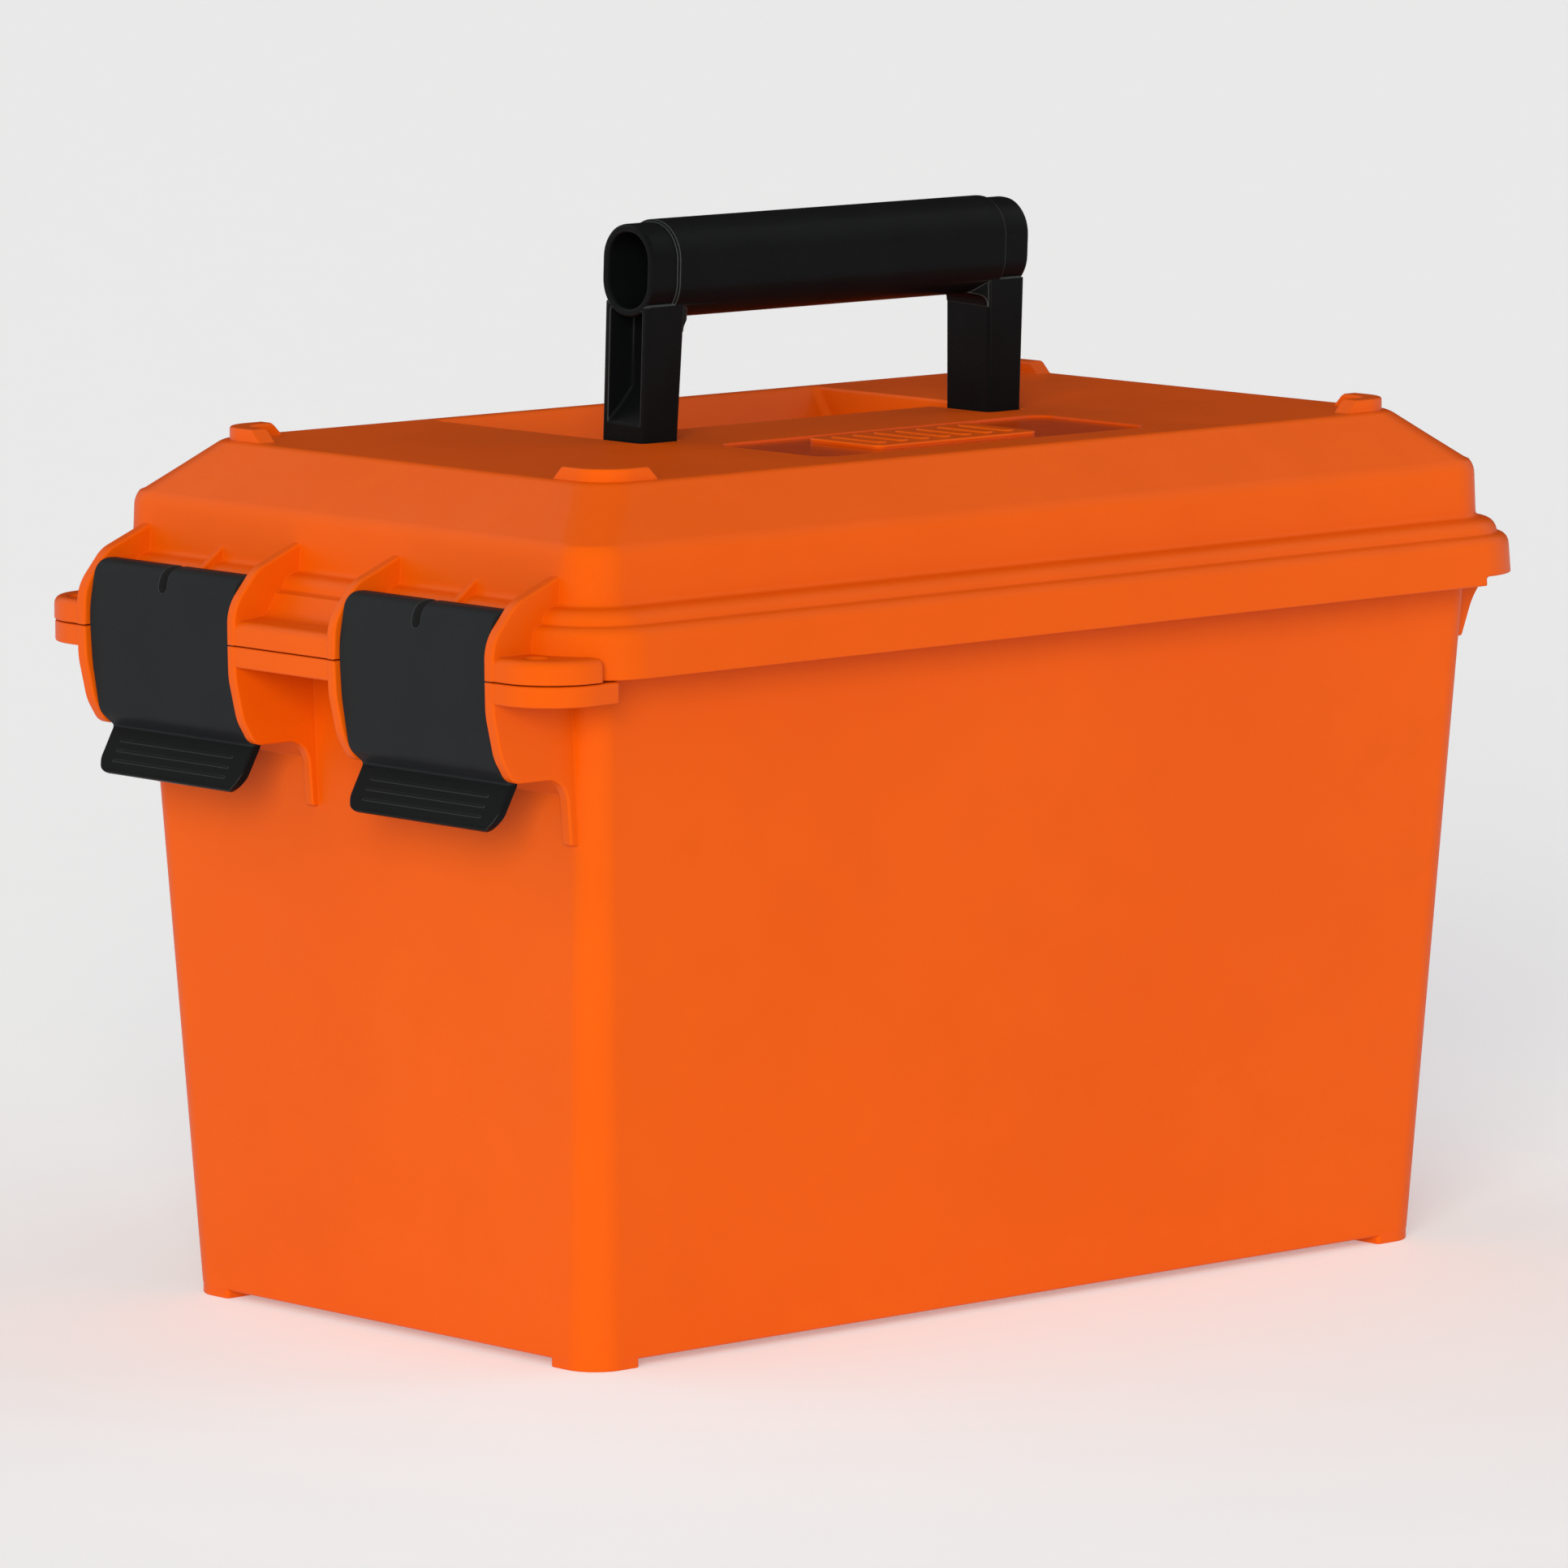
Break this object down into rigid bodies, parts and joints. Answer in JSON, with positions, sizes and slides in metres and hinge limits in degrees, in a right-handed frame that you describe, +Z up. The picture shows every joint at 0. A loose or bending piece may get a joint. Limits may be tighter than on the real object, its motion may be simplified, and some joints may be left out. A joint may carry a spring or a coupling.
{
  "type": "hard equipment case",
  "caption": "Tapered plastic storage case with a domed hinged lid, snap latches on one end, padlock tabs, a sealing ring and a folding carry handle.",
  "frame": {"origin": "on the floor, below the middle of the case's outline seen from above", "axes": "+Z up; the latches face -Y and the hinge is at +Y; the handle folds down towards -X and the label recess is on the +X side of the lid"},
  "size_m": [0.1926, 0.3397, 0.2624],
  "materials": {
    "tub_plastic": "satin moulded, orange",
    "lid_plastic": "satin moulded, orange",
    "gasket_rubber": "matte",
    "handle_plastic": "satin moulded, black",
    "latch_plastic_left": "fine grain moulded, black",
    "latch_plastic_right": "fine grain moulded, black",
    "latch_pin_steel_left": "drawn wire",
    "latch_pin_steel_right": "drawn wire",
    "hinge_pin_steel": "drawn wire"
  },
  "bodies": {
    "base": {"base_tub": "tub_plastic", "hinge_pin": "hinge_pin_steel"},
    "lid": {"lid_shell": "lid_plastic", "lid_gasket": "gasket_rubber", "latch_pin_left": "latch_pin_steel_left", "latch_pin_right": "latch_pin_steel_right"},
    "handle": {"handle": "handle_plastic"},
    "latch_left": {"latch_left": "latch_plastic_left"},
    "latch_right": {"latch_right": "latch_plastic_right"}
  },
  "joints": [
    {"name": "lid_hinge", "type": "hinge", "parent": "base", "child": "lid", "pos_m": [0, 0.1644, 0.1645], "axis": [-1, 0, 0], "range_deg": [0, 110]},
    {"name": "handle_hinge", "type": "hinge", "parent": "lid", "child": "handle", "pos_m": [0, 0, 0.2022], "axis": [0, -1, 0], "range_deg": [0, 92.2]},
    {"name": "latch_left_hinge", "type": "hinge", "parent": "lid", "child": "latch_left", "pos_m": [-0.0467, -0.1623, 0.1778], "axis": [-1, 0, 0], "range_deg": [0, 110]},
    {"name": "latch_right_hinge", "type": "hinge", "parent": "lid", "child": "latch_right", "pos_m": [0.0467, -0.1623, 0.1778], "axis": [-1, 0, 0], "range_deg": [0, 110]}
  ]
}
